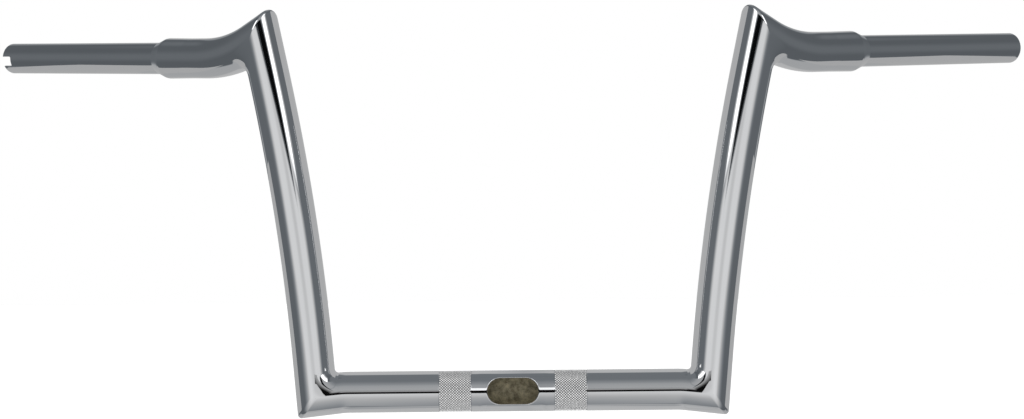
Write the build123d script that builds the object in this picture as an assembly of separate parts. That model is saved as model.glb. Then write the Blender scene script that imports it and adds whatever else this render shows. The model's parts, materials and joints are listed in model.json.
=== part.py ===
from build123d import *
import os
from math import cos, hypot, radians, sin, sqrt, tan

# Driving dimensions, in millimetres and degrees.
# The frame: X along the crossbar, Y towards the rider, Z up the uprights.
# The origin is the middle of the crossbar's axis, between the riser clamps.
# Points and directions are those of the +X half. The rider's right hand is on the -X half.

# Tube
TUBE_DIAMETER = 31.75        # crossbar, uprights and arms
TUBE_WALL = 3.0
CONTROL_DIAMETER = 25.4      # ends that take the grips, levers and switches
CONTROL_WALL = 2.4

# Crossbar
BASE_WIDTH = 304.4           # between the uprights' axes at the lower corners
CORNER_DROP = 6.5            # angle that the crossbar's ends bend down
CORNER_BEND_RADIUS = 50.0
CORNER_WELD_RADIUS = 3.0     # blend inside the lower corners
CORNER_TIP_RADIUS = 3.0      # rounding of the lower corners' points

# Uprights
RISE = 275.0                 # from the crossbar's axis to the axis at the peaks
LEAN_AT_CORNER = 4.8         # outward lean where the upright leaves the crossbar
LEAN_AT_PEAK = 11.8          # outward lean under the peak, so the upright bows inwards

# Arms
ARM_TURN = 26.0              # turn of the arm's bend, between the peak and the control section
ARM_BEND_RADIUS = 118.0
ARM_STRAIGHT = 40.5          # from the end of the bend to the shoulder
SWEEP = 35.0                 # angle that the control sections turn back towards the rider
CONTROL_LIFT = 3.0           # climb of the control section towards its end
PEAK_WELD_RADIUS = 6.0       # blend under the peak
PEAK_TIP_RADIUS = 2.0        # rounding of the peak's point

# Shoulders and control sections
COLLAR_LENGTH = 25.0         # end of the arm that swells before the shoulder
COLLAR_SWELL = 0.4           # growth of the collar's radius
COLLAR_EDGE_RADIUS = 6.0
SHOULDER_LENGTH = 10.0       # cone from the tube down to the control section
CONTROL_LENGTH = 180.0       # from the foot of the shoulder to the bar's end
END_BEVEL = 0.8              # across the ends' outer edges

# Knurled clamp bands
CLAMP_SPREAD = 88.9          # between the bands' middles
KNURL_WIDTH = 25.4
KNURL_RAISE = 0.2            # height of the knurl over the plain tube

# Wiring window in the front of the crossbar
WINDOW_LENGTH = 39.2
WINDOW_HEIGHT = 20.0
WINDOW_TURN = 4.0            # about the crossbar's axis, up from straight ahead
WINDOW_BEVEL = 0.9           # across the window's outer edge

# Throttle slots across one end, turned below the level of the axis
THROTTLE_SLOT_WIDTH = 8.3
THROTTLE_SLOT_DEPTH = 10.5
THROTTLE_SLOT_CORNER_RADIUS = 1.5
THROTTLE_SLOT_TURN = 15.0

# Wire exits on the rider's side of the control sections
EXIT_LENGTH = 20.0
EXIT_WIDTH = 11.0
EXIT_FROM_END = 145.0
EXIT_TURN = 150.0            # round the control section, from the front and downwards

# Modelling allowances
BORE_SLACK = 1.0             # straight run of the arm's hollow past its mitre, before its tighter bend
WELD_SINK = 0.05             # depth that the weld blends lie under the tubes they join
OVERRUN = 5.0                # run of a cutter past the face that it cuts
PICK_TOLERANCE = 0.01        # for finding edges by their place

# Values that follow
TUBE_RADIUS = TUBE_DIAMETER / 2
TUBE_BORE_RADIUS = TUBE_RADIUS - TUBE_WALL
CONTROL_RADIUS = CONTROL_DIAMETER / 2
CONTROL_BORE_RADIUS = CONTROL_RADIUS - CONTROL_WALL
ARM_LEAD = TUBE_RADIUS / 2   # straight run before the arm's bend, for an even ridge on the peak


def lean_direction(angle):
    """Way up an upright that leans outwards by an angle."""
    return Vector(sin(radians(angle)), 0, cos(radians(angle)))


def swept_direction(sweep, climb):
    """Way out along a control section that turns back and climbs by two angles."""
    level = cos(radians(climb))
    return Vector(level * cos(radians(sweep)), level * sin(radians(sweep)), sin(radians(climb)))


def half_turn_tangent(before, after):
    """Tangent of half the turn from one run of the bar to the next."""
    return tan(radians(before.get_angle(after) / 2))


# Ways along the bar, from the crossbar's middle to the bar's end
ALONG_CROSSBAR = Vector(1, 0, 0)
INTO_CORNER = Vector(cos(radians(CORNER_DROP)), 0, -sin(radians(CORNER_DROP)))
OUT_OF_CORNER = lean_direction(LEAN_AT_CORNER)
INTO_PEAK = lean_direction(LEAN_AT_PEAK)
ALONG_CONTROL = swept_direction(SWEEP, CONTROL_LIFT)
PEAK_HINGE = INTO_PEAK.cross(ALONG_CONTROL).normalized()  # square to the upright's top and the arm
OUT_OF_PEAK = ALONG_CONTROL.rotate(Axis((0, 0, 0), PEAK_HINGE), ARM_TURN)

# Straight run that the lower mitre and its blend need on both sides
CORNER_STUB = (TUBE_RADIUS + CORNER_WELD_RADIUS) * half_turn_tangent(INTO_CORNER, OUT_OF_CORNER)

# Elbow of the blend under the peak, tangent to the upright's axis and to the arm's bend.
# These three are measured from the peak.
peak_elbow_radius = TUBE_RADIUS + PEAK_WELD_RADIUS
under_arm = PEAK_HINGE.cross(INTO_PEAK) * peak_elbow_radius
arm_bend_centre = OUT_OF_PEAK * ARM_LEAD - PEAK_HINGE.cross(OUT_OF_PEAK) * ARM_BEND_RADIUS
centre_gap = under_arm - arm_bend_centre
gap_rise = centre_gap.dot(INTO_PEAK)
PEAK_STUB = gap_rise + sqrt(gap_rise**2 - centre_gap.length**2 + (ARM_BEND_RADIUS + peak_elbow_radius) ** 2)
centre_gap -= INTO_PEAK * PEAK_STUB
PEAK_BLEND_END = arm_bend_centre + centre_gap.normalized() * ARM_BEND_RADIUS

# Points of the axis, where straight runs meet
corner_run = CORNER_STUB + CORNER_BEND_RADIUS * half_turn_tangent(ALONG_CROSSBAR, INTO_CORNER)
CORNER = Vector(BASE_WIDTH / 2, 0, INTO_CORNER.Z * corner_run)
CROSSBAR_BEND = CORNER - INTO_CORNER * corner_run
upright_run = (RISE - CORNER.Z) / (OUT_OF_CORNER.Z + INTO_PEAK.Z)
UPRIGHT_BEND = CORNER + OUT_OF_CORNER * upright_run
PEAK = UPRIGHT_BEND + INTO_PEAK * upright_run
bow_run = upright_run - max(CORNER_STUB, PEAK_STUB)
BOW_RADIUS = bow_run / half_turn_tangent(OUT_OF_CORNER, INTO_PEAK)
arm_bend_run = ARM_BEND_RADIUS * half_turn_tangent(OUT_OF_PEAK, ALONG_CONTROL)
ARM_BEND = PEAK + OUT_OF_PEAK * (ARM_LEAD + arm_bend_run)
bore_lead = TUBE_BORE_RADIUS * half_turn_tangent(INTO_PEAK, OUT_OF_PEAK) + BORE_SLACK
ARM_BORE_BEND_RADIUS = (ARM_LEAD + arm_bend_run - bore_lead) / half_turn_tangent(OUT_OF_PEAK, ALONG_CONTROL)
COLLAR = ARM_BEND + ALONG_CONTROL * (arm_bend_run + ARM_STRAIGHT - COLLAR_LENGTH)
BAR_END = COLLAR + ALONG_CONTROL * (COLLAR_LENGTH + SHOULDER_LENGTH + CONTROL_LENGTH)

# Planes of the mitres, with their normals along the bar
CORNER_MITRE = Plane(CORNER, x_dir=(0, 1, 0), z_dir=INTO_CORNER + OUT_OF_CORNER)
PEAK_MITRE = Plane(PEAK, x_dir=INTO_PEAK.cross(OUT_OF_PEAK), z_dir=INTO_PEAK + OUT_OF_PEAK)


def twin(shape):
    """The same shape on the other half of the bar."""
    return mirror(shape, about=Plane.YZ)


def both_sides(shape):
    """A shape and its twin on the other half."""
    return shape + twin(shape)


def tube(radius, points, radii):
    """Round bar along straight runs that are joined by tangent bends."""
    path = FilletPolyline(*points, radius=radii)
    section = Plane(path @ 0, z_dir=path % 0) * Circle(radius)
    return sweep(section, path=path)


def crossbar(radius):
    """Crossbar with its ends bent down, cut at the lower mitres."""
    level_end = CROSSBAR_BEND - ALONG_CROSSBAR * corner_run
    tip = CORNER + INTO_CORNER * TUBE_DIAMETER
    bent_end = tube(radius, [level_end, CROSSBAR_BEND, tip], CORNER_BEND_RADIUS)
    bent_end = split(bent_end, bisect_by=CORNER_MITRE, keep=Keep.BOTTOM)
    level = extrude(Plane.YZ * Circle(radius), amount=level_end.X, both=True)
    return level + bent_end + twin(bent_end)


def upright(radius):
    """Bowed upright between its two mitres."""
    foot = CORNER - OUT_OF_CORNER * TUBE_DIAMETER
    head = PEAK + INTO_PEAK * TUBE_DIAMETER
    bar = tube(radius, [foot, UPRIGHT_BEND, head], BOW_RADIUS)
    bar = split(bar, bisect_by=CORNER_MITRE, keep=Keep.TOP)
    return split(bar, bisect_by=PEAK_MITRE, keep=Keep.BOTTOM)


def arm(radius, bend_radius):
    """Arm from the peak's mitre to the start of the collar."""
    head = PEAK - OUT_OF_PEAK * TUBE_DIAMETER
    bar = tube(radius, [head, ARM_BEND, COLLAR], bend_radius)
    return split(bar, bisect_by=PEAK_MITRE, keep=Keep.TOP)


def turned(outline):
    """Body turned about the control section's axis, from an outline of distance and radius."""
    plane = Plane(COLLAR, x_dir=ALONG_CONTROL, z_dir=ALONG_CONTROL.cross(Vector(0, 0, 1)))
    return revolve(plane * make_face(outline), axis=Axis(COLLAR, ALONG_CONTROL))


def control_outside():
    """Collar, shoulder and control section, solid."""
    foot = COLLAR_LENGTH + SHOULDER_LENGTH
    end = foot + CONTROL_LENGTH
    shoulder = FilletPolyline(
        (0, TUBE_RADIUS),
        (COLLAR_LENGTH, TUBE_RADIUS + COLLAR_SWELL),
        (foot, CONTROL_RADIUS),
        radius=COLLAR_EDGE_RADIUS,
    )
    rest = Polyline(
        (foot, CONTROL_RADIUS),
        (end - END_BEVEL, CONTROL_RADIUS),
        (end, CONTROL_RADIUS - END_BEVEL),
        (end, 0),
        (0, 0),
        (0, TUBE_RADIUS),
    )
    return turned(shoulder + rest)


def control_hollow():
    """Hollow of the collar, shoulder and control section, open at the end."""
    foot = COLLAR_LENGTH + SHOULDER_LENGTH
    end = foot + CONTROL_LENGTH + OVERRUN
    profile = Polyline(
        (0, 0),
        (0, TUBE_BORE_RADIUS),
        (COLLAR_LENGTH, TUBE_BORE_RADIUS),
        (foot, CONTROL_BORE_RADIUS),
        (end, CONTROL_BORE_RADIUS),
        (end, 0),
        close=True,
    )
    return turned(profile)


def weld_blend(start, direction, end):
    """Elbow that rounds the inside of a mitre and lies just under the tubes elsewhere."""
    bend = TangentArc(start, end, tangent=direction)
    section = Plane(start, z_dir=direction) * Circle(TUBE_RADIUS - WELD_SINK)
    return sweep(section, path=bend)


def tip_trim(point, before, after, tip_radius):
    """Cutter that rounds the point of a mitre, seen square to its two runs."""
    half_angle = radians(90 - before.get_angle(after) / 2)
    outwards = (before - after).normalized()
    tip = TUBE_RADIUS / sin(half_angle)
    touch = tip - tip_radius / tan(half_angle) * cos(half_angle)
    half_width = tip_radius * cos(half_angle)
    crown = tip - tip_radius / sin(half_angle) + tip_radius
    far = tip + OVERRUN
    wide = half_width + OVERRUN
    outline = ThreePointArc((touch, -half_width), (crown, 0), (touch, half_width)) + Polyline(
        (touch, half_width), (touch, wide), (far, wide), (far, -wide), (touch, -wide), (touch, -half_width)
    )
    plane = Plane(point, x_dir=outwards, z_dir=before.cross(after))
    return extrude(plane * make_face(outline), amount=TUBE_DIAMETER, both=True)


def outside():
    """The bar's outer form, solid throughout."""
    half = upright(TUBE_RADIUS) + arm(TUBE_RADIUS, ARM_BEND_RADIUS) + control_outside()
    half += weld_blend(PEAK - INTO_PEAK * PEAK_STUB, INTO_PEAK, PEAK + PEAK_BLEND_END)
    half -= tip_trim(PEAK, INTO_PEAK, OUT_OF_PEAK, PEAK_TIP_RADIUS)
    bar = crossbar(TUBE_RADIUS) + half + twin(half)
    blend_start = CORNER - INTO_CORNER * CORNER_STUB
    blend = weld_blend(blend_start, INTO_CORNER, CORNER + OUT_OF_CORNER * CORNER_STUB)
    trim = tip_trim(CORNER, INTO_CORNER, OUT_OF_CORNER, CORNER_TIP_RADIUS)
    bar += [blend, twin(blend)]
    return bar - [trim, twin(trim)]


def hollow():
    """One hollow through the whole bar, for the wiring."""
    half = upright(TUBE_BORE_RADIUS) + arm(TUBE_BORE_RADIUS, ARM_BORE_BEND_RADIUS) + control_hollow()
    return crossbar(TUBE_BORE_RADIUS) + half + twin(half)


def knurl_bands():
    """Raised rings of the two clamp bands."""
    ring = Plane.YZ * (Circle(TUBE_RADIUS + KNURL_RAISE) - Circle(TUBE_RADIUS - TUBE_WALL / 2))
    band = extrude(ring, amount=KNURL_WIDTH / 2, both=True)
    return both_sides(Pos(X=CLAMP_SPREAD / 2) * band)


def window_cut():
    """Cutter for the oval wiring window, from the crossbar's axis to its front."""
    outline = Plane.XZ * SlotOverall(WINDOW_LENGTH, WINDOW_HEIGHT)
    return extrude(outline, amount=TUBE_RADIUS + OVERRUN).rotate(Axis.X, -WINDOW_TURN)


def control_plane(from_end, turn):
    """Plane on the control section's axis that faces the front, turned downwards about that axis."""
    axis = Axis(BAR_END, ALONG_CONTROL)
    front = ALONG_CONTROL.cross(Vector(0, 0, 1)).rotate(axis, turn)
    return Plane(BAR_END - ALONG_CONTROL * from_end, x_dir=ALONG_CONTROL, z_dir=front)


def throttle_slot_cut():
    """Cutter for the slots across the end that takes the throttle, on the -X half."""
    length = 2 * THROTTLE_SLOT_DEPTH
    outline = RectangleRounded(length, THROTTLE_SLOT_WIDTH, THROTTLE_SLOT_CORNER_RADIUS)
    slot = extrude(control_plane(0, THROTTLE_SLOT_TURN) * outline, amount=CONTROL_DIAMETER, both=True)
    return twin(slot)


def wire_exit_cut():
    """Cutter for a wire exit, from the control section's axis to its rear."""
    outline = control_plane(EXIT_FROM_END, EXIT_TURN) * SlotOverall(EXIT_LENGTH, EXIT_WIDTH)
    return extrude(outline, amount=CONTROL_RADIUS + OVERRUN)


def is_window_rim(edge):
    """Whether an edge is on the outer rim of the wiring window."""
    middle = edge @ 0.5
    at_window = abs(middle.X) < WINDOW_LENGTH / 2 + WINDOW_BEVEL and middle.Y < 0
    return at_window and abs(hypot(middle.Y, middle.Z) - TUBE_RADIUS) < PICK_TOLERANCE


bar = outside() + knurl_bands() - hollow()
exit_cut = wire_exit_cut()
bar -= [window_cut(), throttle_slot_cut(), exit_cut, twin(exit_cut)]
bar = chamfer(bar.edges().filter_by(is_window_rim), WINDOW_BEVEL)

os.makedirs("parts", exist_ok=True)
export_step(bar, "parts/handlebar.step")
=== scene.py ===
"""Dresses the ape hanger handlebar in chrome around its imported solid, on a plain studio stage."""
import json
from math import ceil, cos, pi, radians, sin, tan

import bpy
import numpy as np
from mathutils import Matrix, Vector


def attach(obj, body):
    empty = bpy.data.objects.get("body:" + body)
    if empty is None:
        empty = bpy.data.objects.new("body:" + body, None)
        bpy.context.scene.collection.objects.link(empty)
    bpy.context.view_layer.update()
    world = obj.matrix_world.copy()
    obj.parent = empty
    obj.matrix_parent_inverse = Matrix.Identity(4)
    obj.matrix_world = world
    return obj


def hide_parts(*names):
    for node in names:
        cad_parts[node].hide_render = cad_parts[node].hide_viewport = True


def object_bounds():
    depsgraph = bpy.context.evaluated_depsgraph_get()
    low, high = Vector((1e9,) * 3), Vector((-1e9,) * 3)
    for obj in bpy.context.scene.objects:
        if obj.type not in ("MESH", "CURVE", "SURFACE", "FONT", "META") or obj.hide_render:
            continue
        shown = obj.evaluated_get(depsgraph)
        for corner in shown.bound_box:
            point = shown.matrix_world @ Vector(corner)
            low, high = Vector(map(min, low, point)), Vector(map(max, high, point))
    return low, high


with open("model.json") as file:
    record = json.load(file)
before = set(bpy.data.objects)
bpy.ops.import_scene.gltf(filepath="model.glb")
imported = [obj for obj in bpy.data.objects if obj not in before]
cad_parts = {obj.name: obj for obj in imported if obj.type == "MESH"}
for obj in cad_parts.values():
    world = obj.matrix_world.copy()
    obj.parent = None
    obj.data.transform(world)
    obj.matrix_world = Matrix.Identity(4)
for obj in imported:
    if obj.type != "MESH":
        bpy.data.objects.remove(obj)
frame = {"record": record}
CAD_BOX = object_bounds()
MOUNTS = {mount["name"]: mount for mount in frame["record"]["mounts"]}

bl_info = {
    "name": "Ape hanger handlebar",
    "version": (1, 0, 0),
    "blender": (4, 5, 0),
    "location": "View3D > Sidebar > Handlebar",
    "description": "Builds a chromed ape hanger handlebar and a plain studio round it",
    "category": "Add Mesh",
}

MM = 0.001

# Meshing of the tube
COLUMNS = 96                     # lines of the mesh round the tube
CROSSBAR_STEP = 3 * MM           # ring spacing outside, on the crossbar
TUBE_STEP = 4 * MM               # ring spacing outside, on the uprights and the arms
HOLLOW_STEP = 8 * MM             # ring spacing in the hollow of the crossbar and the arms
HOLLOW_BOW_STEP = 12 * MM        # ring spacing in the hollow of the uprights
ARC_STEPS = 12                   # steps across the rounding of a mitre
ZONE_STEPS = 16                  # rings on each side of a mitre
ZONE_EASE = 1.6                  # how these rings crowd towards the mitre, 1 for evenly
HOLLOW_ZONE = 4                  # beside a mitre, the hollow has one ring for so many outside
HOLLOW_ARC = 3                   # and so for the rings across its rounding
RIDGE_SHARE = (-0.1, 0.35)       # from ridge to valley, by the cosine round the tube
PROFILE_STEPS = 7                # points on each rounding of the collar, the shoulder and the end
PEAK_STUB_SHARE = 1.65           # straight end of the upright under the peak, by the tube's radius
CREASE = radians(35)             # edges that turn by more than this are sharp

# Meshing of the openings
WINDOW_STEP = 1.6 * MM           # ring spacing beside the window
WINDOW_MARGIN = 5 * MM           # least length of fine mesh beyond the window's ends
WINDOW_COLUMNS = 16              # lines of the mesh on each side of the window's middle
WINDOW_LAYERS = (0.3, 0.55, 0.75, 0.9, 1.0)  # loops round the window, from the tube's mesh to its edge
WINDOW_EDGE_STEPS = 6            # loops over the window's rounded edge
SLOT_STEPS, EXIT_STEPS = 6, 12   # points on each corner of the throttle slots and the wire exits
CUTTER_REACH = 1.5               # how far a cutter reaches from the axis, by the control section's radius

CHROMED, BARE = 0, 1             # numbers of the tube's two finishes


def mount_size(name, size):
    """A size of one of the frame's mounts, in metres."""
    return MOUNTS[name]["dims"][size] * MM


def length(name, description, default):
    """A length that a user may set."""
    return bpy.props.FloatProperty(
        name=name, description=description, default=default, unit="LENGTH", precision=5)


def angle(name, description, degrees):
    """An angle that a user may set."""
    return bpy.props.FloatProperty(
        name=name, description=description, default=radians(degrees), subtype="ANGLE")


def tint(name, description, default):
    """A colour that a user may set."""
    return bpy.props.FloatVectorProperty(
        name=name, description=description, default=default, subtype="COLOR", min=0, max=1)


def share(name, description, default):
    """A number from 0 to 1 that a user may set."""
    return bpy.props.FloatProperty(
        name=name, description=description, default=default, subtype="FACTOR", min=0, max=1)


class BarSizes(bpy.types.PropertyGroup):
    """Sizes of the bar, the solid's own but for the ridges and the rounding of small edges."""
    tube_diameter: length("Tube", "Diameter of crossbar, uprights and arms", 31.75 * MM)
    tube_wall: length("Tube wall", "Thickness of the tube's wall", 3 * MM)
    base_width: length("Base width", "Between the uprights' axes at the lower corners", 304.4 * MM)
    corner_drop: angle("Corner drop", "Angle that the crossbar's ends bend down", 6.5)
    corner_bend: length("Corner bend", "Radius of the bend at the crossbar's ends", 50 * MM)
    corner_weld: length("Corner weld", "Blend inside the lower corners", 3 * MM)
    rise: length("Rise", "From the crossbar's axis to the axis at the peaks", 275 * MM)
    lean_at_corner: angle("Lean at corner", "Outward lean where the upright leaves the crossbar", 4.8)
    lean_at_peak: angle("Lean at peak", "Outward lean under the peak", 11.8)
    sweep: angle("Sweep", "Angle that the control sections turn back towards the rider", 35)
    arm_turn: angle("Arm turn", "Turn of the arm's bend, after the peak", 26)
    arm_bend: length("Arm bend", "Radius of the arm's bend", 118 * MM)
    arm_straight: length("Arm straight", "From the end of the bend to the shoulder", 40.5 * MM)
    control_lift: angle("Control lift", "Climb of the control section towards its end", 3)
    peak_weld: length("Peak weld", "Blend under the peak", 6 * MM)
    corner_ridge: length("Corner ridge", "Rounding along the outer ridge of the lower corners", 3.1 * MM)
    peak_ridge: length("Peak ridge", "Rounding along the outer ridge of the peaks", 2.2 * MM)
    collar_length: length("Collar", "End of the arm that swells before the shoulder", 25 * MM)
    collar_swell: length("Collar swell", "Growth of the collar's radius", 0.4 * MM)
    collar_ease: length("Collar ease", "Radius where the collar begins to swell", 200 * MM)
    collar_edge: length("Collar edge", "Rounding of the collar's edge", 6 * MM)
    shoulder_length: length("Shoulder", "Cone from the tube down to the control section", 10 * MM)
    shoulder_foot: length("Shoulder foot", "Rounding at the foot of the shoulder", 1.2 * MM)
    control_length: length("Control section", "From the shoulder to the bar's end",
                           mount_size("clutch_bar_end", "length_mm"))
    control_radius: length("Control radius", "Radius of the control section",
                           mount_size("clutch_grip", "r_mm"))
    control_bore: length("Control bore", "Radius of the hollow in the control section",
                         mount_size("clutch_bar_end", "r_mm"))
    end_edge: length("End edge", "Rounding of the ends' outer edges", 1.4 * MM)
    window_length: length("Window length", "Wiring window, along the crossbar", 39.2 * MM)
    window_height: length("Window height", "Wiring window, across the crossbar", 20 * MM)
    window_turn: angle("Window turn", "Turn of the window about the crossbar, upwards", 4)
    window_edge: length("Window edge", "Rounding of the window's outer edge", 0.9 * MM)
    slot_width: length("Slot width", "Throttle slots across one end", 8.3 * MM)
    slot_depth: length("Slot depth", "Throttle slots, from the bar's end", 10.5 * MM)
    slot_corner: length("Slot corner", "Rounding in the throttle slots' corners", 1.5 * MM)
    slot_turn: angle("Slot turn", "Turn of the throttle slots below the level", 15)
    exit_length: length("Exit length", "Wire exit, along the control section", 20 * MM)
    exit_width: length("Exit width", "Wire exit, across the control section", 11 * MM)
    exit_from_end: length("Exit place", "From the bar's end to the wire exit's middle", 145 * MM)
    exit_turn: angle("Exit turn", "Turn of the wire exit from the front, downwards", 150)


class KnurlSizes(bpy.types.PropertyGroup):
    """Sizes of the knurled clamp bands."""
    width: length("Band width", "Width of one knurled band", 25.4 * MM)
    lip: length("Lip", "Slope from the tube down to the teeth's roots, along the bar", 0.12 * MM)
    top: length("Top radius", "Radius over the teeth", mount_size("riser_clamps", "r_mm"))
    depth: length("Tooth height", "From the root to the top of a tooth", 0.5 * MM)
    pitch: length("Tooth length", "Length of one tooth along the bar", 2.1 * MM)
    teeth: bpy.props.IntProperty(
        name="Teeth", description="Teeth in one row round the band", default=48, min=8)


class Finishes(bpy.types.PropertyGroup):
    """Colours and gloss of the finishes."""
    chrome: tint("Chrome", "Colour of the plating", (0.8, 0.81, 0.825))
    chrome_roughness: share("Chrome roughness", "Blur of the plating's reflections", 0.035)
    knurl_roughness: share("Knurl roughness", "Blur of the plating on the teeth", 0.3)
    knurl_metal: share("Knurl metal", "Share of the teeth that mirrors, where the rest scatters light", 0.2)
    # The tips' colour is a painted highlight and the roots' colour is painted shade, both set by the height
    # of the teeth.
    knurl_tip_highlight: tint("Knurl tips", "Colour of the worn tips of the teeth", (1.0, 1.0, 1.0))
    knurl_root_shade: tint("Knurl roots", "Colour of the shaded gaps between the teeth", (0.08, 0.083, 0.088))
    steel: tint("Raw steel", "Colour of the bare steel inside", (0.42, 0.38, 0.265))
    scale: tint("Mill scale", "Darker patches of the bare steel", (0.19, 0.17, 0.118))


class StageSizes(bpy.types.PropertyGroup):
    """The camera that the photograph was taken with, and the floor."""
    camera: bpy.props.FloatVectorProperty(
        name="Camera", description="Place of the camera", default=(0.01003, -1.5, 0.14116),
        subtype="TRANSLATION", precision=5)
    yaw: angle("Yaw", "Turn of the camera to the right", -0.36)
    pitch: angle("Pitch", "Tilt of the camera upwards", -0.03)
    roll: angle("Roll", "Roll of the camera", -0.58)
    lens: bpy.props.FloatProperty(
        name="Lens", description="Focal length on a 36 mm wide sensor", default=68.07, unit="CAMERA")
    shade_tint: tint("Shade tint", "Tint of the studio's dark parts", (0.78, 0.89, 1.0))
    floor_drop: length("Floor drop", "From the bar's lowest point down to the floor", 0.2)


# Axis of the bar

def unit(vector):
    """A vector of length one."""
    return vector / np.linalg.norm(vector)


def lean_direction(lean):
    """Way up an upright that leans outwards."""
    return np.array((sin(lean), 0, cos(lean)))


def swept_direction(sweep, climb):
    """Way out along an arm that climbs."""
    return np.array((cos(climb) * cos(sweep), cos(climb) * sin(sweep), sin(climb)))


def turn_between(before, after):
    """Angle between two directions."""
    return np.arccos(np.clip(before @ after, -1, 1))


def rotated(vectors, axis, turn):
    """Vectors turned about an axis, by one angle for each place in turn's shape."""
    turn = np.asarray(turn)[..., None]
    along = (vectors @ axis)[..., None] * axis
    return vectors * np.cos(turn) + np.cross(axis, vectors) * np.sin(turn) + along * (1 - np.cos(turn))


class Run:
    """One run of the bar's axis: a straight, a bend and a straight."""

    def __init__(self, start, knee, end, bend_radius):
        self.start = start
        self.before, self.after = unit(knee - start), unit(end - knee)
        self.turn = turn_between(self.before, self.after)
        self.bend_radius = bend_radius
        self.axis = unit(np.cross(self.before, self.after))
        self.inside = np.cross(self.axis, self.before)
        bend_run = bend_radius * tan(self.turn / 2)
        self.bend_start = np.linalg.norm(knee - start) - bend_run
        self.bend_end = self.bend_start + bend_radius * self.turn
        self.length = self.bend_end + np.linalg.norm(end - knee) - bend_run

    def surface(self, distances, radii, offsets):
        """Points at distances along the run and radii round it, in the directions of offsets."""
        turn = np.clip((distances - self.bend_start) / self.bend_radius, 0, self.turn)
        bend = np.sin(turn)[..., None] * self.before + (1 - np.cos(turn))[..., None] * self.inside
        axis = (
            self.start
            + np.minimum(distances, self.bend_start)[..., None] * self.before
            + self.bend_radius * bend
            + np.maximum(distances - self.bend_end, 0)[..., None] * self.after
        )
        return axis + np.asarray(radii)[..., None] * rotated(offsets, self.axis, turn)

    def end_offsets(self, offsets):
        """The directions of offsets at the run's end."""
        return rotated(offsets, self.axis, self.turn)


class Bar:
    """The bar's axis on the +X half, worked out from its sizes."""

    def __init__(self, sizes):
        self.sizes = sizes
        self.tube = sizes.tube_diameter / 2
        self.bore = self.tube - sizes.tube_wall
        into_corner = np.array((cos(sizes.corner_drop), 0, -sin(sizes.corner_drop)))
        out_of_corner = lean_direction(sizes.lean_at_corner)
        into_peak = lean_direction(sizes.lean_at_peak)
        self.along_control = swept_direction(sizes.sweep, sizes.control_lift)
        hinge = unit(np.cross(into_peak, self.along_control))
        out_of_peak = rotated(self.along_control, hinge, sizes.arm_turn)
        lead = self.tube / 2
        corner_stub = (self.tube + sizes.corner_weld) * tan(turn_between(into_corner, out_of_corner) / 2)
        peak_stub = PEAK_STUB_SHARE * self.tube
        corner_run = corner_stub + sizes.corner_bend * tan(sizes.corner_drop / 2)
        corner = np.array((sizes.base_width / 2, 0, into_corner[2] * corner_run))
        upright_run = (sizes.rise - corner[2]) / (out_of_corner[2] + into_peak[2])
        knee = corner + out_of_corner * upright_run
        peak = knee + into_peak * upright_run
        bow_run = upright_run - max(corner_stub, peak_stub)
        bow_radius = bow_run / tan(turn_between(out_of_corner, into_peak) / 2)
        arm_bend_run = sizes.arm_bend * tan(sizes.arm_turn / 2)
        elbow = peak + out_of_peak * (lead + arm_bend_run)
        after_bend = sizes.arm_straight + sizes.shoulder_length + sizes.control_length
        self.end = elbow + self.along_control * (arm_bend_run + after_bend)
        self.crossbar = Run(np.zeros(3), corner - into_corner * corner_run, corner, sizes.corner_bend)
        self.upright = Run(corner, knee, peak, bow_radius)
        self.arm = Run(peak, elbow, self.end, sizes.arm_bend)
        round_tube = np.arange(COLUMNS) * 2 * pi / COLUMNS
        zeros = np.zeros(COLUMNS)
        self.offsets = np.stack((zeros, -np.cos(round_tube), np.sin(round_tube)), -1)

    def mitres(self, radius, corner_ridge, peak_ridge):
        """The mitres at the lower corner and at the peak, of a surface with this radius."""
        sizes = self.sizes
        corner = Mitre(self.crossbar, self.upright, self.crossbar.end_offsets(self.offsets), radius,
                       self.tube + sizes.corner_weld, corner_ridge)
        peak = Mitre(self.upright, self.arm, self.upright.end_offsets(corner.offsets), radius,
                     self.tube + sizes.peak_weld, peak_ridge)
        return corner, peak

    def control_plane(self, from_end, turn):
        """Matrix of a place on the control section's axis, with Z to the front, turned downwards."""
        front = unit(np.cross(self.along_control, (0, 0, 1)))
        facing = rotated(front, self.along_control, turn)
        across = np.cross(facing, self.along_control)
        place = Matrix.Translation(Vector(self.end - self.along_control * from_end))
        return place @ Matrix((self.along_control, across, facing)).transposed().to_4x4()


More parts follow.
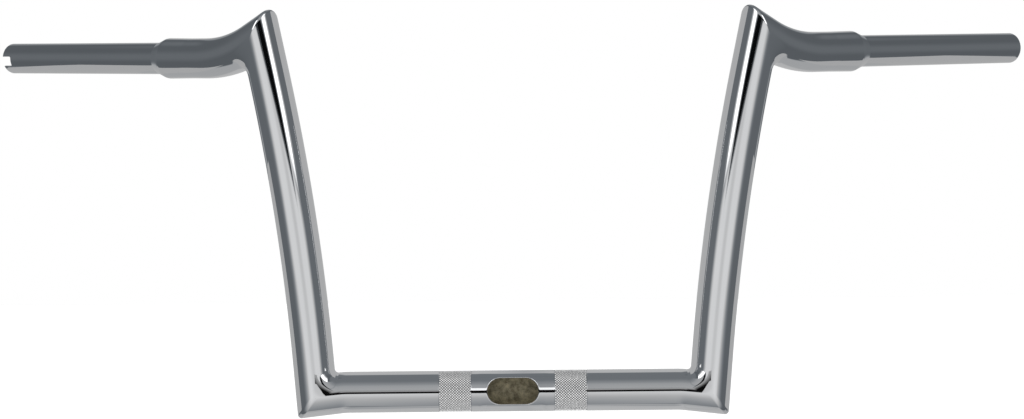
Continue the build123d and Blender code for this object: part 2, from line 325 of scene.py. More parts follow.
class Mitre:
    """Where two runs meet: how far each line round the tube goes, and how its corner is rounded."""

    def __init__(self, first, second, offsets, radius, elbow_radius, ridge):
        self.turn = turn_between(first.after, second.before)
        self.axis = unit(np.cross(first.after, second.before))
        self.ahead = first.after
        self.inside = np.cross(self.axis, first.after)
        inwards = offsets @ self.inside
        low, high = RIDGE_SHARE
        blend = np.clip((inwards - low) / (high - low), 0, 1)
        blend = blend * blend * (3 - 2 * blend)
        self.rounding = ridge + (elbow_radius - radius * inwards - ridge) * blend
        self.offsets = rotated(offsets, self.axis, self.turn)
        reach = radius * inwards + self.rounding
        self.first_trim = reach * tan(self.turn / 2)
        self.second_trim = self.first_trim.copy()
        self.turns = np.full(COLUMNS, self.turn)
        self.follow_bend(second, reach)
        self.clear = self.first_trim.max() + radius / 2  # beyond this the rings are square to the axis

    def follow_bend(self, second, reach):
        """Moves lines that end in the second run's bend, which turns the other way, to touch it there."""
        late = self.second_trim > second.bend_start
        outwards = np.cross(self.axis, second.before)
        centre = second.before * second.bend_start - outwards * second.bend_radius
        gap = reach[late, None] * self.inside - centre
        rise = gap @ self.ahead
        span = second.bend_radius + reach[late]
        self.first_trim[late] = rise + np.sqrt(rise**2 - (gap * gap).sum(1) + span**2)
        gap = gap - self.first_trim[late, None] * self.ahead
        bent = np.arccos(np.clip(gap @ outwards / span, -1, 1))
        self.second_trim[late] = second.bend_start + second.bend_radius * bent
        self.turns[late] = self.turn - bent

    def arc(self, ring):
        """Rings that carry the last ring of the first run round to the second run."""
        turns = np.linspace(0, 1, ARC_STEPS + 1)[1:-1, None, None] * self.turns[:, None]
        path = np.sin(turns) * self.ahead + (1 - np.cos(turns)) * self.inside
        return ring + self.rounding[:, None] * path


def stations(begin, end, spacing):
    """Even distances between two places, without the first."""
    return np.linspace(begin, end, ceil((end - begin) / spacing) + 1)[1:]


def rounded_profile(points, radii):
    """A chain of distance and radius pairs, with its inner corners rounded by arcs."""
    chain = [np.array(points[0])]
    for before, corner, after, radius in zip(points, points[1:], points[2:], radii):
        corner = np.array(corner)
        towards, away = unit(corner - before), unit(np.array(after) - corner)
        turn = turn_between(towards, away)
        run = radius * tan(turn / 2)
        inside = unit(away - towards * (away @ towards))
        for part in np.linspace(0, turn, PROFILE_STEPS):
            chain.append(corner - towards * run + radius * (sin(part) * towards + (1 - cos(part)) * inside))
    chain.append(np.array(points[-1]))
    return np.array(chain)


def filled(chain, spacing):
    """A chain of distance and radius pairs with more points on its long stretches."""
    points = [chain[0]]
    for before, after in zip(chain, chain[1:]):
        for part in stations(0, 1, spacing / max(np.linalg.norm(after - before), spacing)):
            points.append(before + (after - before) * part)
    return np.array(points)


# Rings of the outer and inner surfaces

def outer_rings(bar, knurl):
    """Rings of the outside on the +X half, from the crossbar's middle to the bar's end."""
    sizes, tube = bar.sizes, bar.tube
    corner, peak = bar.mitres(tube, sizes.corner_ridge, sizes.peak_ridge)
    root = knurl.top - knurl.depth
    spread = mount_size("riser_clamps", "length_mm") / 2
    band = spread - knurl.width
    bands = [(band - knurl.lip, tube), (band, root), (spread, root), (spread + knurl.lip, tube)]
    crossbar = crossbar_profile(bar, tube, bands, corner, CROSSBAR_STEP)
    end = bar.arm.length
    foot = end - sizes.control_length
    shoulder = foot - sizes.shoulder_length
    arm = rounded_profile(
        [(peak.clear, tube), (shoulder - sizes.collar_length, tube),
         (shoulder, tube + sizes.collar_swell), (foot, sizes.control_radius),
         (end, sizes.control_radius), (end, sizes.control_bore)],
        [sizes.collar_ease, sizes.collar_edge, sizes.shoulder_foot, sizes.end_edge])
    arm = filled(arm, TUBE_STEP)[1:-1]
    return joined_rings(bar, tube, (corner, peak), crossbar, arm, TUBE_STEP)


def inner_rings(bar):
    """Rings of the hollow on the +X half, from the crossbar's middle to the bar's end."""
    sizes, bore = bar.sizes, bar.bore
    corner, peak = bar.mitres(bore, 0, 0)
    crossbar = crossbar_profile(bar, bore, [], corner, HOLLOW_STEP)
    end = bar.arm.length
    foot = end - sizes.control_length
    arm = np.array([(peak.clear, bore), (foot - sizes.shoulder_length, bore),
                    (foot, sizes.control_bore), (end, sizes.control_bore)])
    arm = filled(arm, HOLLOW_STEP)[1:]
    return joined_rings(bar, bore, (corner, peak), crossbar, arm, HOLLOW_BOW_STEP, HOLLOW_ZONE, HOLLOW_ARC)


def crossbar_profile(bar, radius, bands, corner, step):
    """Pairs of distance and radius along the crossbar, fine beside the window, up to the lower corner."""
    patch = window_patch(bar.sizes)
    beside_window = np.array([(0, radius), (patch, radius)])
    beyond = np.array([(patch, radius), *bands, (bar.crossbar.length - corner.clear, radius)])
    return np.concatenate((filled(beside_window, WINDOW_STEP), filled(beyond, step)[1:]))


def joined_rings(bar, radius, mitres, crossbar, arm, upright_step, each_zone=1, each_arc=1):
    """Rings of the crossbar, the upright and the arm, and of the mitres between them."""
    corner, peak = mitres
    middle = stations(corner.clear, bar.upright.length - peak.clear, upright_step)
    upright = np.stack((middle, np.full(len(middle), radius)), -1)
    rings = [even_rings(bar.crossbar, crossbar, bar.offsets)]
    for before, offsets, mitre, after, profile in (
            (bar.crossbar, bar.offsets, corner, bar.upright, upright),
            (bar.upright, corner.offsets, peak, bar.arm, arm)):
        rings.append(end_zone(before, radius, offsets, mitre)[each_zone - 1::each_zone])
        rings.append(mitre.arc(rings[-1][-1])[each_arc // 2::each_arc])
        rings.append(start_zone(after, radius, mitre)[::each_zone])
        rings.append(even_rings(after, profile, mitre.offsets))
    return np.concatenate(rings)


def even_rings(run, profile, offsets):
    """Rings square to the axis, at pairs of distance and radius."""
    distances = np.repeat(profile[:, :1], COLUMNS, 1)
    return run.surface(distances, profile[:, 1:], offsets)


def end_zone(run, radius, offsets, mitre):
    """Rings that lean over from square to the axis into the mitre at the run's end."""
    begin = run.length - mitre.clear
    part = 1 - (1 - np.linspace(0, 1, ZONE_STEPS + 1)[1:, None]) ** ZONE_EASE
    distances = begin + part * (run.length - mitre.first_trim - begin)
    return run.surface(distances, np.full(distances.shape, radius), offsets)


def start_zone(run, radius, mitre):
    """Rings that lean back from the mitre at the run's start to square to the axis."""
    part = np.linspace(0, 1, ZONE_STEPS + 1)[:, None] ** ZONE_EASE
    distances = mitre.second_trim + part * (mitre.clear - mitre.second_trim)
    return run.surface(distances, np.full(distances.shape, radius), mitre.offsets)


def whole_bar(rings):
    """Rings from the -X end to the +X end."""
    return np.concatenate((rings[:0:-1] * (-1, 1, 1), rings))


# Wiring window

def window_patch(sizes):
    """Half the length of the stretch of crossbar that is meshed round the window."""
    return ceil((sizes.window_length / 2 + WINDOW_MARGIN) / WINDOW_STEP) * WINDOW_STEP


def window_frame(middle, rings):
    """Ring and line numbers round the stretch of mesh that holds the window."""
    low, high = middle - rings, middle + rings
    along, across = range(low, high), range(-WINDOW_COLUMNS, WINDOW_COLUMNS)
    lower = [(ring, -WINDOW_COLUMNS) for ring in along]
    right = [(high, column) for column in across]
    upper = [(ring, WINDOW_COLUMNS) for ring in reversed(range(low + 1, high + 1))]
    left = [(low, -column) for column in across]
    return lower + right + upper + left


def window_loops(frame_points, sizes, tube, bore):
    """Loops of points from the outer surface over the window's edge to the inner surface."""
    spine = (sizes.window_length - sizes.window_height) / 2
    end_radius = sizes.window_height / 2
    x, z = frame_points[:, 0], frame_points[:, 2]
    on_spine = np.clip(x, -spine, spine)
    unrolled = tube * np.arcsin(z / tube)
    way = np.stack((x - on_spine, unrolled), -1)
    way /= np.linalg.norm(way, axis=1)[:, None]

    def rim(offset):
        """The window's outline, seen square on and widened by an offset."""
        return np.stack((on_spine, 0 * z), -1) + way * (end_radius + offset)

    def on_tube(flat, radius, depth, part=1):
        """Flat points laid on a tube, or at a depth in it, and turned up by a part of the window's turn."""
        turn = sizes.window_turn * part
        across, height = flat[:, 1], np.sqrt(radius**2 - flat[:, 1] ** 2) - depth
        return np.stack((flat[:, 0], across * sin(turn) - height * cos(turn),
                         across * cos(turn) + height * sin(turn)), -1)

    def layers(radius, edge, parts):
        """Loops on a tube, by their parts of the way from the frame to an edge."""
        start = np.stack((x, z * radius / tube), -1)
        return [on_tube(start + (edge - start) * part, radius, 0, part) for part in parts]

    loops = layers(tube, rim(sizes.window_edge), WINDOW_LAYERS)
    for step in range(1, WINDOW_EDGE_STEPS + 1):
        turn = pi / 2 * step / WINDOW_EDGE_STEPS
        flat = rim(sizes.window_edge * (1 - sin(turn)))
        loops.append(on_tube(flat, tube, sizes.window_edge * (1 - cos(turn))))
    edge_loops = len(loops)
    loops += layers(bore, rim(0), WINDOW_LAYERS[::-1])
    return loops, edge_loops


def bar_mesh(bar, knurl):
    """Points, faces and finishes of the whole bar, with its window and without its end slots and exits."""
    outer, inner = whole_bar(outer_rings(bar, knurl)), whole_bar(inner_rings(bar))[::-1]
    rings = np.concatenate((outer, inner))
    count = len(rings)
    patch_rings = round(window_patch(bar.sizes) / WINDOW_STEP)
    outer_middle, inner_middle = len(outer) // 2, len(outer) + len(inner) // 2

    def vertex(ring, column):
        """Number of the point where a ring and a line of the mesh cross."""
        return ring % count * COLUMNS + column % COLUMNS

    def in_window(ring, column):
        """Whether the face after this point is left open for the window's own mesh."""
        side = (column + COLUMNS // 2) % COLUMNS - COLUMNS // 2
        across = -WINDOW_COLUMNS <= side < WINDOW_COLUMNS
        middles = (outer_middle, inner_middle)
        return across and any(-patch_rings <= ring - middle < patch_rings for middle in middles)

    faces, finishes = [], []
    for ring in range(count):
        for column in range(COLUMNS):
            if in_window(ring, column):
                continue
            faces.append((vertex(ring, column), vertex(ring + 1, column),
                          vertex(ring + 1, column + 1), vertex(ring, column + 1)))
            finishes.append(CHROMED if ring < len(outer) else BARE)
    finishes_by_loop = []
    outer_frame = window_frame(outer_middle, patch_rings)
    loops = [[vertex(*place) for place in outer_frame]]
    frame_points = np.array([rings[ring, column % COLUMNS] for ring, column in outer_frame])
    new_loops, edge_loops = window_loops(frame_points, bar.sizes, bar.tube, bar.bore)
    points = [rings.reshape(-1, 3)]
    for number, loop in enumerate(new_loops):
        first = count * COLUMNS + number * len(loop)
        loops.append(list(range(first, first + len(loop))))
        points.append(loop)
        finishes_by_loop.append(CHROMED if number < edge_loops else BARE)
    loops.append([vertex(outer_middle + inner_middle - ring, column) for ring, column in outer_frame])
    finishes_by_loop.append(BARE)
    for before, after, finish in zip(loops, loops[1:], finishes_by_loop):
        for place in range(len(before)):
            follow = (place + 1) % len(before)
            faces.append((before[place], before[follow], after[follow], after[place]))
            finishes.append(finish)
    return np.concatenate(points), faces, finishes


# Meshes

def mesh_object(name, points, faces):
    """An object at the origin with a mesh of these points and faces."""
    mesh = bpy.data.meshes.new(name)
    mesh.from_pydata([tuple(point) for point in points], [], faces)
    mesh.validate()
    made = bpy.data.objects.new(name, mesh)
    bpy.context.scene.collection.objects.link(made)
    return made


def prism(name, outline, place, low, high):
    """A closed prism of a flat outline, between two heights over its place."""
    count = len(outline)
    points = [place @ Vector((x, y, z)) for z in (low, high) for x, y in outline]
    sides = [(i, (i + 1) % count, count + (i + 1) % count, count + i) for i in range(count)]
    caps = [tuple(reversed(range(count))), tuple(range(count, 2 * count))]
    return mesh_object(name, points, sides + caps)


def round_corners(half_length, half_width, radius, steps):
    """A rectangle with round corners, as a flat outline that turns to the left."""
    outline = []
    for quarter, (x, y) in enumerate(((1, 1), (-1, 1), (-1, -1), (1, -1))):
        for step in range(steps + 1):
            turn = pi / 2 * (quarter + step / steps)
            outline.append((x * (half_length - radius) + radius * cos(turn),
                            y * (half_width - radius) + radius * sin(turn)))
    return outline


def cut(piece, cutters):
    """Takes the cutters' space out of a piece, and removes the cutters."""
    for cutter in cutters:
        modifier = piece.modifiers.new(cutter.name, "BOOLEAN")
        modifier.operation = "DIFFERENCE"
        modifier.solver = "EXACT"
        modifier.object = cutter
    make_plain(piece)
    for cutter in cutters:
        bpy.data.objects.remove(cutter)


def make_plain(piece):
    """Turns what a piece's modifiers make into its own mesh."""
    evaluated = piece.evaluated_get(bpy.context.evaluated_depsgraph_get())
    mesh = bpy.data.meshes.new_from_object(evaluated)
    if len(mesh.polygons) == 0:
        raise RuntimeError(f"{piece.name} came out empty")
    piece.modifiers.clear()
    piece.data = mesh


def shade(piece, crease):
    """Smooth shading with creases at edges that turn by more than an angle."""
    piece.data.shade_smooth()
    piece.data.set_sharp_from_angle(angle=crease)


# Node trees

class Socket:
    """An output of a node. Python's operators on it add Math nodes."""

    def __init__(self, nodes, link):
        self.nodes, self.link = nodes, link

    def maths(self, operation, *values):
        """The output of a Math node on these values."""
        return self.nodes.add("ShaderNodeMath", {"operation": operation}, dict(enumerate(values)))

    def __add__(self, other):
        return self.maths("ADD", self, other)

    def __sub__(self, other):
        return self.maths("SUBTRACT", self, other)

    def __rsub__(self, other):
        return self.maths("SUBTRACT", other, self)

    def __mul__(self, other):
        return self.maths("MULTIPLY", self, other)

    def __truediv__(self, other):
        return self.maths("DIVIDE", self, other)

    def __rtruediv__(self, other):
        return self.maths("DIVIDE", other, self)

    def __mod__(self, other):
        return self.maths("MODULO", self, other)

    def __rmod__(self, other):
        return self.maths("MODULO", other, self)

    __radd__, __rmul__ = __add__, __mul__


class Nodes:
    """A node tree that is filled node by node."""

    def __init__(self, tree):
        self.tree = tree
        tree.nodes.clear()

    def add(self, kind, settings=None, sockets=None, output=0):
        """Adds a node with its settings, then fills its sockets by name or number."""
        node = self.tree.nodes.new(kind)
        for name, value in (settings or {}).items():
            if name == "stops":
                set_stops(node.color_ramp, value)
            else:
                setattr(node, name, value)
        for name, value in (sockets or {}).items():
            if isinstance(value, Socket):
                self.tree.links.new(value.link, node.inputs[name])
            else:
                node.inputs[name].default_value = value
        return Socket(self, node.outputs[output]) if len(node.outputs) else node


def set_stops(ramp, stops):
    """Gives a colour ramp its stops, as pairs of place and colour."""
    while len(ramp.elements) < len(stops):
        ramp.elements.new(1)
    for element, (place, colour) in zip(ramp.elements, stops):
        element.position = place
        element.color = (*colour, 1)


def new_material(name):
    """An empty material and its nodes."""
    material = bpy.data.materials.new(name)
    material.use_nodes = True
    return material, Nodes(material.node_tree)


# Finishes

def noise(nodes, scale, detail=2.0, roughness=0.5):
    """Noise over the bar's own coordinates."""
    place = nodes.add("ShaderNodeTexCoord", output="Object")
    return nodes.add("ShaderNodeTexNoise", {}, {
        "Vector": place, "Scale": scale, "Detail": detail, "Roughness": roughness})


def chrome(finishes):
    """Bright plating with faint haze and the slight unevenness of a polished tube."""
    material, nodes = new_material("bar_chrome")
    haze = noise(nodes, scale=14, detail=4, roughness=0.6)
    peel = noise(nodes, scale=260)
    hazed = tuple(0.94 * part for part in finishes.chrome)
    colour = nodes.add("ShaderNodeMix", {"data_type": "RGBA"}, {
        0: haze, 6: (*finishes.chrome, 1), 7: (*hazed, 1)}, output=2)
    bump = nodes.add("ShaderNodeBump", {}, {"Strength": 0.02, "Distance": 0.05 * MM, "Height": peel})
    shader = nodes.add("ShaderNodeBsdfPrincipled", {}, {
        "Base Color": colour, "Metallic": 1.0, "Roughness": finishes.chrome_roughness * (0.7 + haze * 0.6),
        "Normal": bump})
    nodes.add("ShaderNodeOutputMaterial", {}, {"Surface": shader})
    return material


def toothed_chrome(finishes, knurl):
    """Satin plating on the teeth, with a painted highlight on the tips and painted shade in the gaps, by
    the height over the axis.
    """
    material, nodes = new_material("knurl_chrome")
    place = nodes.add("ShaderNodeTexCoord", output="Object")
    spoke = nodes.add("ShaderNodeVectorMath", {"operation": "MULTIPLY"}, {0: place, 1: (0, 1, 1)})
    radius = nodes.add("ShaderNodeVectorMath", {"operation": "LENGTH"}, {0: spoke}, output="Value")
    height = (radius - (knurl.top - knurl.depth)) / knurl.depth
    # Painted shade in the gaps between the teeth and a painted highlight on their tips, by the height over
    # the axis.
    colour = nodes.add("ShaderNodeValToRGB", {"stops": [
        (0.22, tuple(finishes.knurl_root_shade)), (0.5, tuple(finishes.knurl_tip_highlight))]}, {"Fac": height})
    wear = noise(nodes, scale=300, detail=3)
    shader = nodes.add("ShaderNodeBsdfPrincipled", {}, {
        "Base Color": colour, "Metallic": finishes.knurl_metal,
        "Roughness": finishes.knurl_roughness * (0.7 + wear * 0.6)})
    nodes.add("ShaderNodeOutputMaterial", {}, {"Surface": shader})
    return material


def raw_steel(finishes):
    """Bare drawn steel inside the tube, mottled with scale and thin rust."""
    material, nodes = new_material("bar_raw_steel")
    patches = noise(nodes, scale=210, detail=6, roughness=0.65)
    grain = noise(nodes, scale=1400, detail=3, roughness=0.6)
    rubbed = tuple(1.5 * part for part in finishes.steel)
    mottle = nodes.add("ShaderNodeValToRGB", {"stops": [
        (0.39, tuple(finishes.scale)), (0.515, tuple(finishes.steel)), (0.64, rubbed)]}, {
        "Fac": patches * 0.7 + grain * 0.3})
    bump = nodes.add("ShaderNodeBump", {}, {
        "Strength": 0.5, "Distance": 0.2 * MM, "Height": patches + grain})
    shader = nodes.add("ShaderNodeBsdfPrincipled", {}, {
        "Base Color": mottle, "Metallic": 0.35, "Roughness": 0.45 + grain * 0.3, "Normal": bump})
    nodes.add("ShaderNodeOutputMaterial", {}, {"Surface": shader})
    return material


# Knurl

def knurl_tree(material):
    """Nodes that set rows of pointed teeth round a band of the crossbar."""
    tree = bpy.data.node_groups.new("knurl_teeth", "GeometryNodeTree")
    nodes = Nodes(tree)
    inputs = {"Middle": "Float", "Width": "Float", "Root radius": "Float",
              "Tooth height": "Float", "Tooth length": "Float", "Teeth": "Int"}
    for name, kind in inputs.items():
        tree.interface.new_socket(name, in_out="INPUT", socket_type=f"NodeSocket{kind}")
    tree.interface.new_socket("Geometry", in_out="OUTPUT", socket_type="NodeSocketGeometry")
    middle, width, root, height, tooth, teeth = (
        nodes.add("NodeGroupInput", output=name) for name in inputs)
    half_tooth = tooth * 0.5
    nudge = 0.0001               # keeps the first tooth of a row from counting to the row before
    rows = nodes.add("ShaderNodeMath", {"operation": "FLOOR"}, {0: width / half_tooth - 0.5})
    spots = nodes.add("GeometryNodeMeshLine", {"mode": "OFFSET"}, {
        "Count": rows * teeth, "Offset": (0, 0, 0)})
    index = nodes.add("GeometryNodeInputIndex")
    row = nodes.add("ShaderNodeMath", {"operation": "FLOOR"}, {0: index / teeth + nudge})
    turn = (index % teeth + row % 2.0 * 0.5) / teeth * (2 * pi)
    up = nodes.add("ShaderNodeMath", {"operation": "COSINE"}, {0: turn}) * root
    forward = nodes.add("ShaderNodeMath", {"operation": "SINE"}, {0: turn}) * root
    along = middle + (row - (rows - 1.0) * 0.5) * half_tooth
    spot = nodes.add("ShaderNodeCombineXYZ", {}, {0: along, 1: forward * -1.0, 2: up})
    placed = nodes.add("GeometryNodeSetPosition", {}, {"Geometry": spots, "Position": spot})
    point = nodes.add("GeometryNodeMeshCone", {"fill_type": "NONE"}, {
        "Vertices": 4, "Radius Top": 0.0, "Radius Bottom": 1.0, "Depth": 1.0})
    facing = nodes.add("ShaderNodeCombineXYZ", {}, {0: turn})
    size = nodes.add("ShaderNodeCombineXYZ", {}, {0: half_tooth, 1: root * pi / teeth, 2: height})
    tooth_rows = nodes.add("GeometryNodeInstanceOnPoints", {}, {
        "Points": placed, "Instance": point, "Rotation": facing, "Scale": size})
    real = nodes.add("GeometryNodeRealizeInstances", {}, {0: tooth_rows})
    finished = nodes.add("GeometryNodeSetMaterial", {}, {"Geometry": real, "Material": material})
    nodes.add("NodeGroupOutput", {}, {0: finished})
    return tree


def set_inputs(modifier, values):
    """Sets a Geometry Nodes modifier's inputs, which are found by their names."""
    for item in modifier.node_group.interface.items_tree:
        if item.in_out == "INPUT" and item.name in values:
            modifier[item.identifier] = values[item.name]


# Operators

class HANDLEBAR_OT_bar(bpy.types.Operator):
    """Builds the chromed tube of the bar, hollow throughout"""
    bl_idname = "handlebar.bar"
    bl_label = "Bar"

    def execute(self, context):
        sizes, finishes = context.scene.bar_sizes, context.scene.bar_finishes
        bar = Bar(sizes)
        points, faces, kinds = bar_mesh(bar, context.scene.knurl_sizes)
        piece = mesh_object("bar_tube", points, faces)
        piece.data.materials.append(chrome(finishes))
        piece.data.materials.append(raw_steel(finishes))
        piece.data.polygons.foreach_set("material_index", kinds)
        cut(piece, self.cutters(bar))
        shade(piece, CREASE)
        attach(piece, "root")
        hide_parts("handlebar")
        return {"FINISHED"}

    @staticmethod
    def cutters(bar):
        """Cutters for the throttle slots and the wire exits."""
        sizes = bar.sizes
        flip = Matrix.Scale(-1, 4, (1, 0, 0))
        reach = sizes.control_radius * CUTTER_REACH
        slot = round_corners(sizes.slot_depth, sizes.slot_width / 2, sizes.slot_corner, SLOT_STEPS)
        slot_place = flip @ bar.control_plane(0, sizes.slot_turn)
        half_width = sizes.exit_width / 2
        wire_exit = round_corners(sizes.exit_length / 2, half_width, half_width, EXIT_STEPS)
        exit_place = bar.control_plane(sizes.exit_from_end, sizes.exit_turn)
        return [prism("slot", slot[::-1], slot_place, -reach, reach),
                prism("exit", wire_exit, exit_place, 0, reach),
                prism("other_exit", wire_exit[::-1], flip @ exit_place, 0, reach)]


class HANDLEBAR_OT_knurl(bpy.types.Operator):
    """Sets the rows of teeth of the two knurled clamp bands"""
    bl_idname = "handlebar.knurl"
    bl_label = "Knurled bands"

    def execute(self, context):
        knurl, finishes = context.scene.knurl_sizes, context.scene.bar_finishes
        material = toothed_chrome(finishes, knurl)
        tree = knurl_tree(material)
        middle = (mount_size("riser_clamps", "length_mm") - knurl.width) / 2
        for name, side in (("throttle_knurl", -1), ("clutch_knurl", 1)):
            band = mesh_object(name, [], [])
            modifier = band.modifiers.new("teeth", "NODES")
            modifier.node_group = tree
            set_inputs(modifier, {
                "Middle": side * middle, "Width": knurl.width, "Root radius": knurl.top - knurl.depth,
                "Tooth height": knurl.depth, "Tooth length": knurl.pitch, "Teeth": knurl.teeth})
            make_plain(band)
            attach(band, "root")
        return {"FINISHED"}


class HANDLEBAR_OT_stage(bpy.types.Operator):
    """Sets the floor, the studio's cards, the lamp, the world and the camera"""
    bl_idname = "handlebar.stage"
    bl_label = "Stage"

    def execute(self, context):
        stage = context.scene.stage_sizes
        make_floor(CAD_BOX[0].z - stage.floor_drop)
        make_dome(stage.shade_tint)
        make_edge_cards()
        make_flags()
        make_world(context.scene)
        make_lamp(context.scene)
        make_camera(context.scene, stage)
        context.scene.view_settings.view_transform = "Standard"
        return {"FINISHED"}


# Stage

SLATE = 0.138                    # brightness of the studio between the cards
BLACK = 0.004                    # brightness of what shows as black
SHADE_LIMIT = 0.5                # brightness below which the studio takes on the shade's tint
SOFT_LIGHT = 0.7                 # brightness of the world, where neither camera nor reflection sees it
DOME_RADIUS = 40.0
DOME_COLUMNS, DOME_ROWS = 241, 181
DOME_TOP = 89.9                  # elevation of the dome's highest points, in degrees
FLOOR_REACH = 6.0                # from the middle of the floor to its sides
SENSOR_WIDTH = 36                # of the camera, in millimetres

# Cards of the studio, which only the bar's reflections show. They are painted in this order on a far
# dome, the same on both sides. Each has its azimuths from the camera's side and its elevations, in
# degrees, the softness of its edges along these two, and its brightness at the bottom and the top.
CARDS = {
    "ceiling": ((-1, 181), (48, 91), (1, 10), (0.21, 0.21)),
    "sides": ((45, 130), (-8, 24), (40, 24), (0.18, 0.18)),
    "upper_wall": ((-1, 34), (-20, 52), (8, 36), (0.52, 0.38)),
    "floor": ((-1, 38), (-83, -2), (60, 3), (0.36, 0.93)),
    "front_wall": ((-1, 45), (-6, 8), (24, 3), (0.78, 0.78)),
    "wall_middle": ((-1, 8), (-5, 8), (18, 3), (0.63, 0.63)),
    "rear_floor": ((99, 181), (-84, -35.5), (8, 7), (0.43, 0.45)),
    "rear": ((126, 181), (-46, -3), (10, 4), (0.44, 0.46)),
    "rear_line": ((148, 175), (14, 36), (14, 8), (0.34, 0.34)),
    "back": ((164, 181), (-91, 63), (6, 6), (0.54, 0.54)),
    "under": ((-1, 181), (-91, -84), (1, 4), (0.48, 0.48)),
    "black_gap": ((-1, 28), (5.7, 13), (5, 1.2), (BLACK, BLACK)),
    "white_edge": ((38, 55), (11, 36), (12, 4), (0.9, 0.9)),
    "white_strip": ((32.5, 48), (9, 36), (6, 2), (2.2, 2.2)),
}

# Cards near the bar, on edge to the camera on both sides. Each has its distance from the middle, its
# front edge at the bottom and the top, the heights of these two, its rear edge and its brightness.
EDGE_CARDS = {
    "inner": (0.045, (0.02, 0.02), (-0.02, 0.4), 0.45, 0.5),
    "outer": (0.6, (0.02, 0.13), (-0.15, 0.13), 0.9, 0.47),
}

# Flags before the crossbar, which its own reflection shows. Each has its distance before the axis, its
# places along the bar on both sides, and its rows of a height and the brightness at each place.
FLAGS = {
    "crossbar_flag": (60 * MM, (137 * MM, 139 * MM, 149 * MM), (
        (-6.2 * MM, 0.66, 0.66, 0.66),
        (-4.2 * MM, 0.66, 0.66, 0.66),
        (-3.6 * MM, BLACK, BLACK, BLACK),
        (4.4 * MM, BLACK, BLACK, BLACK),
        (5.2 * MM, 0.3, BLACK, BLACK),
        (10.5 * MM, 0.38, 0.38, 0.38),
        (12.5 * MM, 0.42, 0.42, 0.42),
    )),
    "window_flag": (59 * MM, (34 * MM,), (
        (-5.2 * MM, BLACK),
        (8.0 * MM, BLACK),
        (8.8 * MM, 1.2),
        (20.5 * MM, 1.2),
    )),
}


def soft_band(values, limits, soft):
    """One between two limits and zero outside, with soft edges."""
    low, high = limits
    edge = np.minimum(values - low, high - values) / soft + 0.5
    edge = np.clip(edge, 0, 1)
    return edge * edge * (3 - 2 * edge)


def studio_brightness(azimuth, elevation):
    """Brightness of the studio in each direction."""
    level = np.full(azimuth.shape, SLATE)
    for azimuths, elevations, (soft_across, soft_up), (bottom, top) in CARDS.values():
        across = soft_band(np.abs(azimuth), azimuths, soft_across)
        up = soft_band(elevation, elevations, soft_up)
        part = np.clip((elevation - elevations[0]) / (elevations[1] - elevations[0]), 0, 1)
        level += across * up * (bottom + (top - bottom) * part - level)
    return level


def glowing_grid(name, points, levels):
    """A grid of points, in rows, that glows with a brightness or a colour at each of them."""
    rows, columns = points.shape[:2]
    square = (0, 1, columns + 1, columns)
    faces = [tuple(row * columns + column + corner for corner in square)
             for row in range(rows - 1) for column in range(columns - 1)]
    card = mesh_object(name, points.reshape(-1, 3), faces)
    colours = np.ones((rows, columns, 4))
    colours[..., :3] = levels
    card.data.attributes.new("glow", "FLOAT_COLOR", "POINT").data.foreach_set("color", colours.ravel())
    material, nodes = new_material(name)
    glow = nodes.add("ShaderNodeAttribute", {"attribute_name": "glow"})
    shader = nodes.add("ShaderNodeBsdfPrincipled", {}, {
        "Base Color": (0, 0, 0, 1), "Specular IOR Level": 0.0,
        "Emission Color": glow, "Emission Strength": 1.0})
    nodes.add("ShaderNodeOutputMaterial", {}, {"Surface": shader})
    card.data.materials.append(material)
    for ray in ("camera", "diffuse", "shadow", "transmission"):
        setattr(card, f"visible_{ray}", False)


def make_dome(shade_tint):
    """A far dome with the cards painted on it, which the camera doesn't see."""
    azimuth, elevation = np.meshgrid(
        np.linspace(-180, 180, DOME_COLUMNS), np.linspace(-DOME_TOP, DOME_TOP, DOME_ROWS))
    across, up = np.radians(azimuth), np.radians(elevation)
    points = np.stack((np.cos(up) * np.sin(across), -np.cos(up) * np.cos(across), np.sin(up)), -1)
    level = studio_brightness(azimuth, elevation)[..., None]
    shadow = np.clip(1 - level / SHADE_LIMIT, 0, 1)
    glowing_grid("studio_dome", DOME_RADIUS * points, level * (1 + shadow * (np.array(shade_tint) - 1)))


def make_edge_cards():
    """Cards on edge to the camera, which light the uprights' edges."""
    for name, (across, fronts, heights, rear, level) in EDGE_CARDS.items():
        for hand, side in (("right", -1), ("left", 1)):
            points = np.array([[(side * across, edge, height) for edge in (front, rear)]
                               for front, height in zip(fronts, heights)])
            glowing_grid(f"{hand}_{name}_card", points, level)


def make_flags():
    """Flags before the crossbar, the same on both sides of its middle."""
    for name, (before, places, rows) in FLAGS.items():
        rows = np.array(rows)
        across, height = np.meshgrid((*(-place for place in reversed(places)), *places), rows[:, 0])
        level = np.concatenate((rows[:, :0:-1], rows[:, 1:]), 1)
        points = np.stack((across, np.full(across.shape, -before), height), -1)
        glowing_grid(name, points, level[..., None])


def make_floor(height):
    """A pale floor that shows white to the camera, apart from shadows."""
    corners = [(x * FLOOR_REACH, y * FLOOR_REACH, height) for x, y in ((-1, -1), (1, -1), (1, 1), (-1, 1))]
    floor = mesh_object("floor", corners, [(0, 1, 2, 3)])
    material, nodes = new_material("floor_paper")
    shader = nodes.add("ShaderNodeBsdfPrincipled", {}, {
        "Base Color": (0.9, 0.9, 0.9, 1), "Roughness": 0.9,
        "Emission Color": (1, 1, 1, 1), "Emission Strength": 0.5})
    nodes.add("ShaderNodeOutputMaterial", {}, {"Surface": shader})
    floor.data.materials.append(material)
    floor.visible_glossy = False


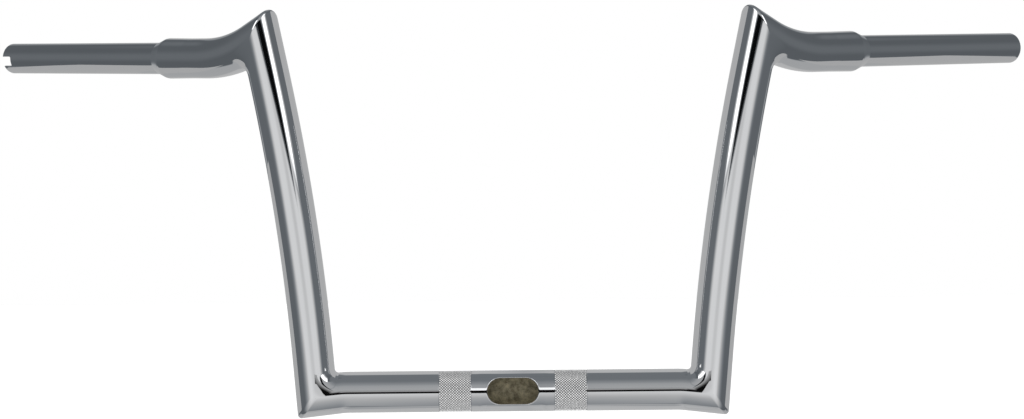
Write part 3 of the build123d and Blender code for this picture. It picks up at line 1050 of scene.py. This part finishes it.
def make_world(scene):
    """White to the camera and in reflections, and an even soft light on everything else."""
    world = bpy.data.worlds.new("studio")
    world.use_nodes = True
    scene.world = world
    nodes = Nodes(world.node_tree)
    camera_ray = nodes.add("ShaderNodeLightPath", output="Is Camera Ray")
    glossy_ray = nodes.add("ShaderNodeLightPath", output="Is Glossy Ray")
    clear_ray = nodes.add("ShaderNodeLightPath", output="Is Transmission Ray")
    level = SOFT_LIGHT + (1 - SOFT_LIGHT) * (camera_ray + glossy_ray + clear_ray)
    glow = nodes.add("ShaderNodeBackground", {}, {"Color": (1, 1, 1, 1), "Strength": level})
    nodes.add("ShaderNodeOutputWorld", {}, {"Surface": glow})


def make_lamp(scene):
    """One soft lamp overhead, which gives the floor its shadow."""
    lamp = bpy.data.lights.new("overhead", "AREA")
    lamp.size = 1.6
    lamp.energy = 12
    lamp_object = bpy.data.objects.new("overhead", lamp)
    lamp_object.location = (0.0, -0.3, 2.0)
    lamp_object.visible_glossy = False
    lamp_object.visible_camera = False
    scene.collection.objects.link(lamp_object)


def make_camera(scene, stage):
    """The camera, level and square to the bar but for small turns."""
    ahead = Vector((sin(stage.yaw) * cos(stage.pitch), cos(stage.yaw) * cos(stage.pitch), sin(stage.pitch)))
    level = Vector((cos(stage.yaw), -sin(stage.yaw), 0))
    up = level.cross(ahead)
    right = cos(stage.roll) * level + sin(stage.roll) * up
    camera = bpy.data.cameras.new("camera")
    camera.lens = stage.lens
    camera.sensor_width = SENSOR_WIDTH
    camera.sensor_fit = "HORIZONTAL"
    camera_object = bpy.data.objects.new("camera", camera)
    turned = Matrix((right, right.cross(ahead), -ahead)).transposed()
    camera_object.matrix_world = Matrix.Translation(stage.camera) @ turned.to_4x4()
    scene.collection.objects.link(camera_object)
    scene.camera = camera_object


# Panel and registration

class HANDLEBAR_PT_panel(bpy.types.Panel):
    """Lists the pieces of the handlebar"""
    bl_label = "Ape hanger handlebar"
    bl_idname = "HANDLEBAR_PT_panel"
    bl_space_type = "VIEW_3D"
    bl_region_type = "UI"
    bl_category = "Handlebar"

    def draw(self, context):
        for operator in OPERATORS:
            self.layout.operator(operator.bl_idname)


GROUPS = {
    "bar_sizes": BarSizes,
    "knurl_sizes": KnurlSizes,
    "bar_finishes": Finishes,
    "stage_sizes": StageSizes,
}
OPERATORS = (HANDLEBAR_OT_bar, HANDLEBAR_OT_knurl, HANDLEBAR_OT_stage)


def register():
    """Adds the sizes, the operators and the panel."""
    for name, group in GROUPS.items():
        bpy.utils.register_class(group)
        setattr(bpy.types.Scene, name, bpy.props.PointerProperty(type=group))
    for kind in (*OPERATORS, HANDLEBAR_PT_panel):
        bpy.utils.register_class(kind)


def unregister():
    """Takes the panel, the operators and the sizes away again."""
    for kind in (HANDLEBAR_PT_panel, *OPERATORS):
        bpy.utils.unregister_class(kind)
    for name, group in GROUPS.items():
        delattr(bpy.types.Scene, name)
        bpy.utils.unregister_class(group)


def main():
    """Builds the handlebar on its stage."""
    register()
    bpy.ops.handlebar.bar()
    bpy.ops.handlebar.knurl()
    bpy.ops.handlebar.stage()


if __name__ == "__main__":
    main()
